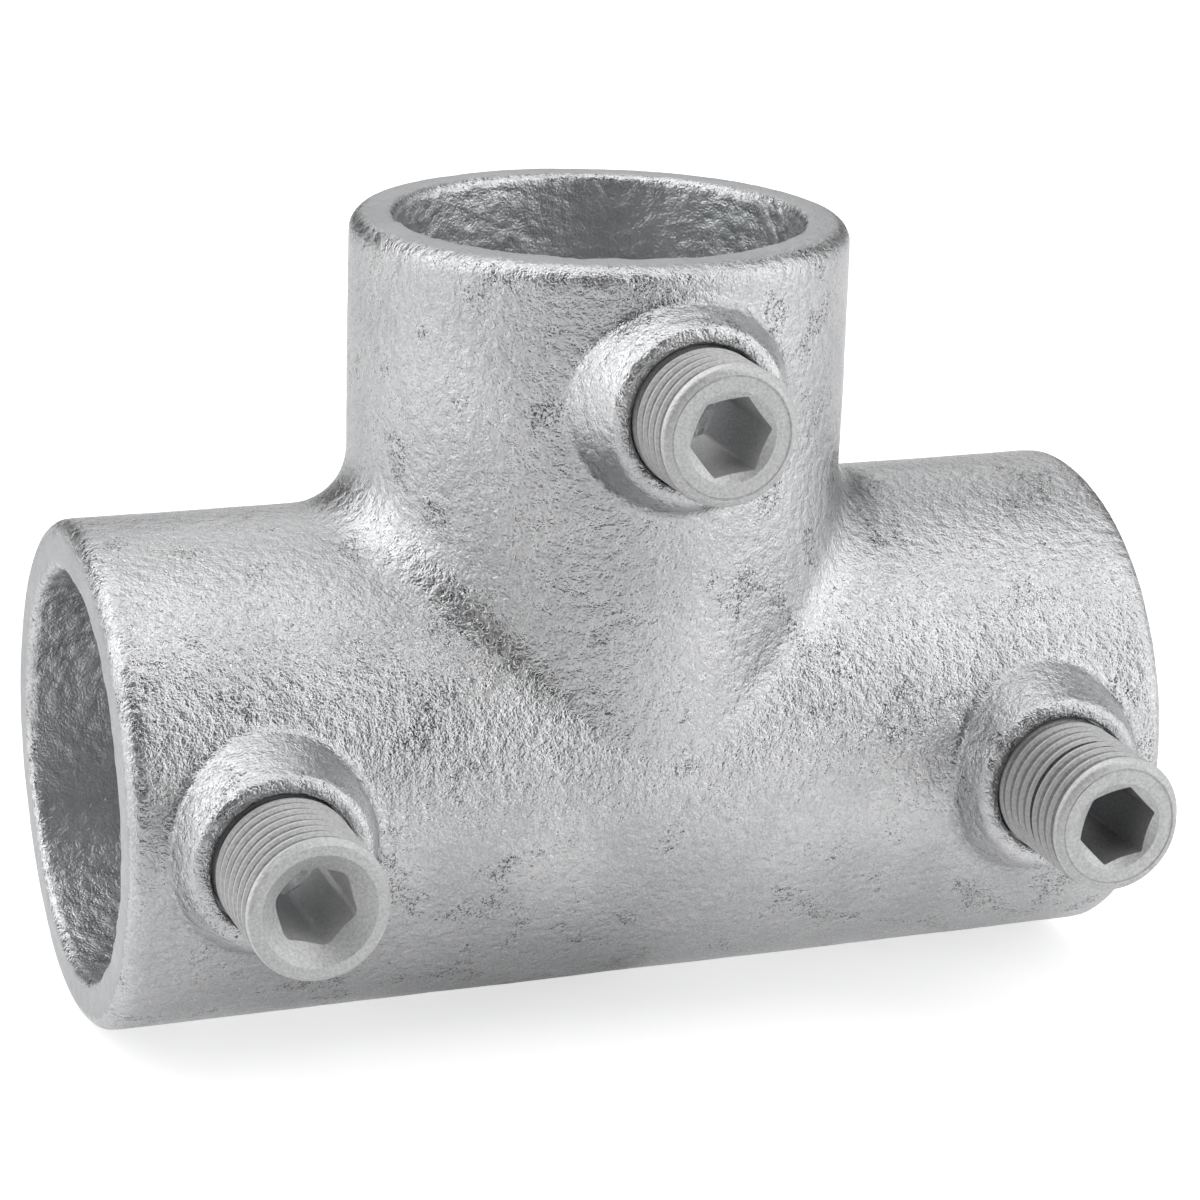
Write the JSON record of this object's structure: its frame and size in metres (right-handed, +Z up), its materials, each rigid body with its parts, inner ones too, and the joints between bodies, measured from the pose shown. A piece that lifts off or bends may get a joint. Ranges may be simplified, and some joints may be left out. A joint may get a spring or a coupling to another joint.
{
  "type": "tube clamp tee fitting",
  "caption": "Cast tee that joins round tubes at a right angle: a through run and a branch socket, with a hollow set screw in a boss on each arm to clamp the tube inside it.",
  "frame": {"origin": "where the axis of the run crosses the axis of the branch", "axes": "+X along the run, +Z up the branch, -Y the side that the set screws stand out on"},
  "size_m": [0.13, 0.0804, 0.0955],
  "materials": {
    "galvanised_iron": "hot-dip galvanised, grainy as cast",
    "zinc_plated_steel": "matt zinc coating"
  },
  "bodies": {
    "casting": {"casting": "galvanised_iron"},
    "left_screw": {"left_set_screw": "zinc_plated_steel"},
    "right_screw": {"right_set_screw": "zinc_plated_steel"},
    "branch_screw": {"branch_set_screw": "zinc_plated_steel"}
  },
  "joints": [
    {"name": "left_screw_travel", "type": "slide", "parent": "casting", "child": "left_screw", "axis": [0, 1, 0], "range_m": [-0.002, 0.014]},
    {"name": "right_screw_travel", "type": "slide", "parent": "casting", "child": "right_screw", "axis": [0, 1, 0], "range_m": [-0.0014, 0.0146]},
    {"name": "branch_screw_travel", "type": "slide", "parent": "casting", "child": "branch_screw", "axis": [0, 1, 0], "range_m": [-0.0071, 0.0089]}
  ]
}
